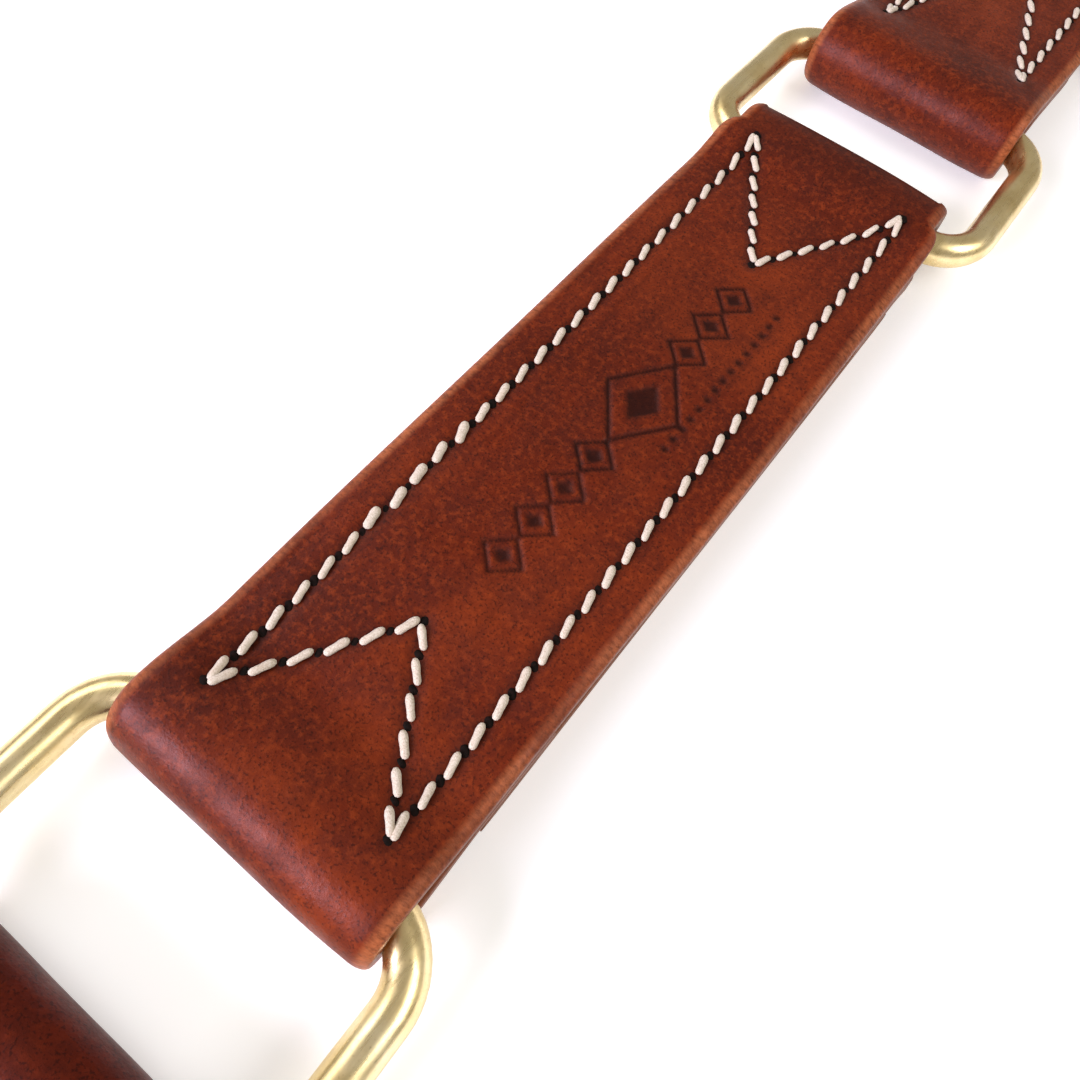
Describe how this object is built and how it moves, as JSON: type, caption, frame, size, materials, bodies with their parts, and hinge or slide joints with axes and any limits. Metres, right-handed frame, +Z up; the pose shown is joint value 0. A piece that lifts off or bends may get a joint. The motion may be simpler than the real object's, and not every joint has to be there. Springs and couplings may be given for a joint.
{
  "type": "leather headcollar",
  "caption": "Flat leather headcollar for a horse, opened out: cheek straps joined by rectangular brass rings, noseband, crown, chin strap with tie ring, and throatlash.",
  "frame": {"origin": "middle of the near cheekpiece's underside, where it lies on the table", "axes": "+Y along the near cheekpiece towards the crown, +X to the right across it, +Z up out of its outer face"},
  "size_m": [0.7813, 0.8674, 0.0179],
  "materials": {
    "chestnut": "satin",
    "edge": "satin",
    "lining": "matt",
    "thread": "matt",
    "brass": "satin"
  },
  "bodies": {
    "near_cheek": {"near_cheek_strap": "chestnut", "near_cheek_filler": "edge", "near_cheek_lining": "lining", "near_cheek_thread": "thread"},
    "near_upper_ring": {"near_upper_ring": "brass"},
    "near_lower_ring": {"near_lower_ring": "brass"},
    "near_chape": {"near_chape_strap": "chestnut", "near_chape_filler": "edge", "near_chape_thread": "thread", "near_fixed_keeper": "chestnut", "dee_tab": "chestnut"},
    "near_runner": {"near_runner": "chestnut"},
    "near_buckle": {"near_buckle_frame": "brass"},
    "near_tongue": {"near_buckle_tongue": "brass"},
    "throat_dee": {"throat_dee": "brass"},
    "noseband": {"noseband_outer": "chestnut", "noseband_lining": "lining", "noseband_thread": "thread", "near_hanger": "chestnut", "off_hanger": "chestnut", "hanger_thread": "thread", "chin_keeper": "chestnut"},
    "chin_buckle": {"chin_buckle_frame": "brass"},
    "chin_tongue": {"chin_buckle_tongue": "brass"},
    "off_lower_ring": {"off_lower_ring": "brass"},
    "off_cheek": {"off_cheek_strap": "chestnut", "off_cheek_filler": "edge", "off_cheek_lining": "lining", "off_cheek_thread": "thread"},
    "off_upper_ring": {"off_upper_ring": "brass"},
    "crown": {"crown_strap": "chestnut", "crown_lining": "lining", "crown_thread": "thread"},
    "throat_strap": {"throat_strap": "chestnut", "throat_thread": "thread"},
    "snap_eye": {"snap_eye": "brass"},
    "snap_body": {"snap_body": "brass"},
    "snap_plunger": {"snap_plunger": "brass"},
    "chin_ring": {"chin_ring": "brass"},
    "chin_link": {"chin_link_strap": "chestnut", "chin_link_thread": "thread"},
    "tie_ring": {"tie_ring": "brass"},
    "chin_billet": {"chin_billet_strap": "chestnut", "chin_billet_thread": "thread"},
    "jaw_strap": {"jaw_strap": "chestnut", "jaw_thread": "thread", "jaw_loop": "chestnut"}
  },
  "joints": [
    {"name": "near_upper_ring_swing", "type": "hinge", "parent": "near_cheek", "child": "near_upper_ring", "pos_m": [0, 0.0602, 0.0061], "axis": [1, 0, 0], "range_deg": [-60, 60]},
    {"name": "near_chape_swing", "type": "hinge", "parent": "near_upper_ring", "child": "near_chape", "pos_m": [0, 0.0912, 0.0061], "axis": [-1, 0, 0], "range_deg": [-60, 60]},
    {"name": "near_buckle_swing", "type": "hinge", "parent": "near_chape", "child": "near_buckle", "pos_m": [0, 0.2032, 0.0061], "axis": [1, 0, 0], "range_deg": [-30, 30]},
    {"name": "near_tongue_lift", "type": "hinge", "parent": "near_buckle", "child": "near_tongue", "pos_m": [0, 0.2032, 0.0061], "axis": [1, 0, 0], "range_deg": [0, 75]},
    {"name": "near_runner_slide", "type": "slide", "parent": "near_chape", "child": "near_runner", "axis": [0, 1, 0], "range_m": [-0.006, 0.009]},
    {"name": "throat_dee_swing", "type": "hinge", "parent": "near_chape", "child": "throat_dee", "pos_m": [0.027, 0.14, 0.0035], "axis": [0, -1, 0], "range_deg": [-30, 110]},
    {"name": "near_lower_ring_swing", "type": "hinge", "parent": "noseband", "child": "near_lower_ring", "pos_m": [0, -0.0912, 0.0061], "axis": [1, 0, 0], "range_deg": [-60, 60]},
    {"name": "near_cheek_swing", "type": "hinge", "parent": "near_lower_ring", "child": "near_cheek", "pos_m": [0, -0.0602, 0.0061], "axis": [-1, 0, 0], "range_deg": [-60, 60]},
    {"name": "chin_buckle_swing", "type": "hinge", "parent": "noseband", "child": "chin_buckle", "pos_m": [0.062, -0.1332, 0.0061], "axis": [0, -1, 0], "range_deg": [-30, 30]},
    {"name": "chin_tongue_lift", "type": "hinge", "parent": "chin_buckle", "child": "chin_tongue", "pos_m": [0.062, -0.1332, 0.0061], "axis": [0, -1, 0], "range_deg": [0, 75]},
    {"name": "off_lower_ring_swing", "type": "hinge", "parent": "noseband", "child": "off_lower_ring", "pos_m": [-0.27, -0.0912, 0.0061], "axis": [1, 0, 0], "range_deg": [-60, 60]},
    {"name": "off_cheek_swing", "type": "hinge", "parent": "off_lower_ring", "child": "off_cheek", "pos_m": [-0.27, -0.0602, 0.0061], "axis": [-1, 0, 0], "range_deg": [-60, 60]},
    {"name": "off_upper_ring_swing", "type": "hinge", "parent": "off_cheek", "child": "off_upper_ring", "pos_m": [-0.27, 0.0602, 0.0061], "axis": [1, 0, 0], "range_deg": [-60, 60]},
    {"name": "crown_swing", "type": "hinge", "parent": "off_upper_ring", "child": "crown", "pos_m": [-0.27, 0.0912, 0.0061], "axis": [-1, 0, 0], "range_deg": [-60, 60]},
    {"name": "throat_swing", "type": "hinge", "parent": "off_upper_ring", "child": "throat_strap", "pos_m": [-0.2933, 0.0757, 0.0061], "axis": [0, -1, 0], "range_deg": [-60, 60]},
    {"name": "snap_eye_swing", "type": "hinge", "parent": "throat_strap", "child": "snap_eye", "pos_m": [-0.5933, 0.0757, 0.0061], "axis": [0, 1, 0], "range_deg": [-60, 60]},
    {"name": "snap_swivel", "type": "hinge", "parent": "snap_eye", "child": "snap_body", "pos_m": [-0.6133, 0.0757, 0.0061], "axis": [1, 0, 0], "continuous": true},
    {"name": "snap_bolt_slide", "type": "slide", "parent": "snap_body", "child": "snap_plunger", "axis": [1, 0, 0], "range_m": [0, 0.009], "stiffness_N_per_m": 200, "springref_m": -0.01},
    {"name": "chin_ring_swing", "type": "hinge", "parent": "noseband", "child": "chin_ring", "pos_m": [-0.332, -0.1332, 0.0061], "axis": [0, 1, 0], "range_deg": [-60, 60]},
    {"name": "chin_link_swing", "type": "hinge", "parent": "chin_ring", "child": "chin_link", "pos_m": [-0.356, -0.1332, 0.0061], "axis": [0, -1, 0], "range_deg": [-60, 60]},
    {"name": "tie_ring_swing", "type": "hinge", "parent": "chin_link", "child": "tie_ring", "pos_m": [-0.418, -0.1332, 0.00666], "axis": [0, 1, 0], "range_deg": [-60, 60]},
    {"name": "chin_billet_swing", "type": "hinge", "parent": "tie_ring", "child": "chin_billet", "pos_m": [-0.47628, -0.1332, 0.00666], "axis": [0, -1, 0], "range_deg": [-60, 60]},
    {"name": "jaw_swing", "type": "hinge", "parent": "tie_ring", "child": "jaw_strap", "pos_m": [-0.44714, -0.10406, 0.00666], "axis": [1, 0, 0], "range_deg": [-45, 45]}
  ]
}
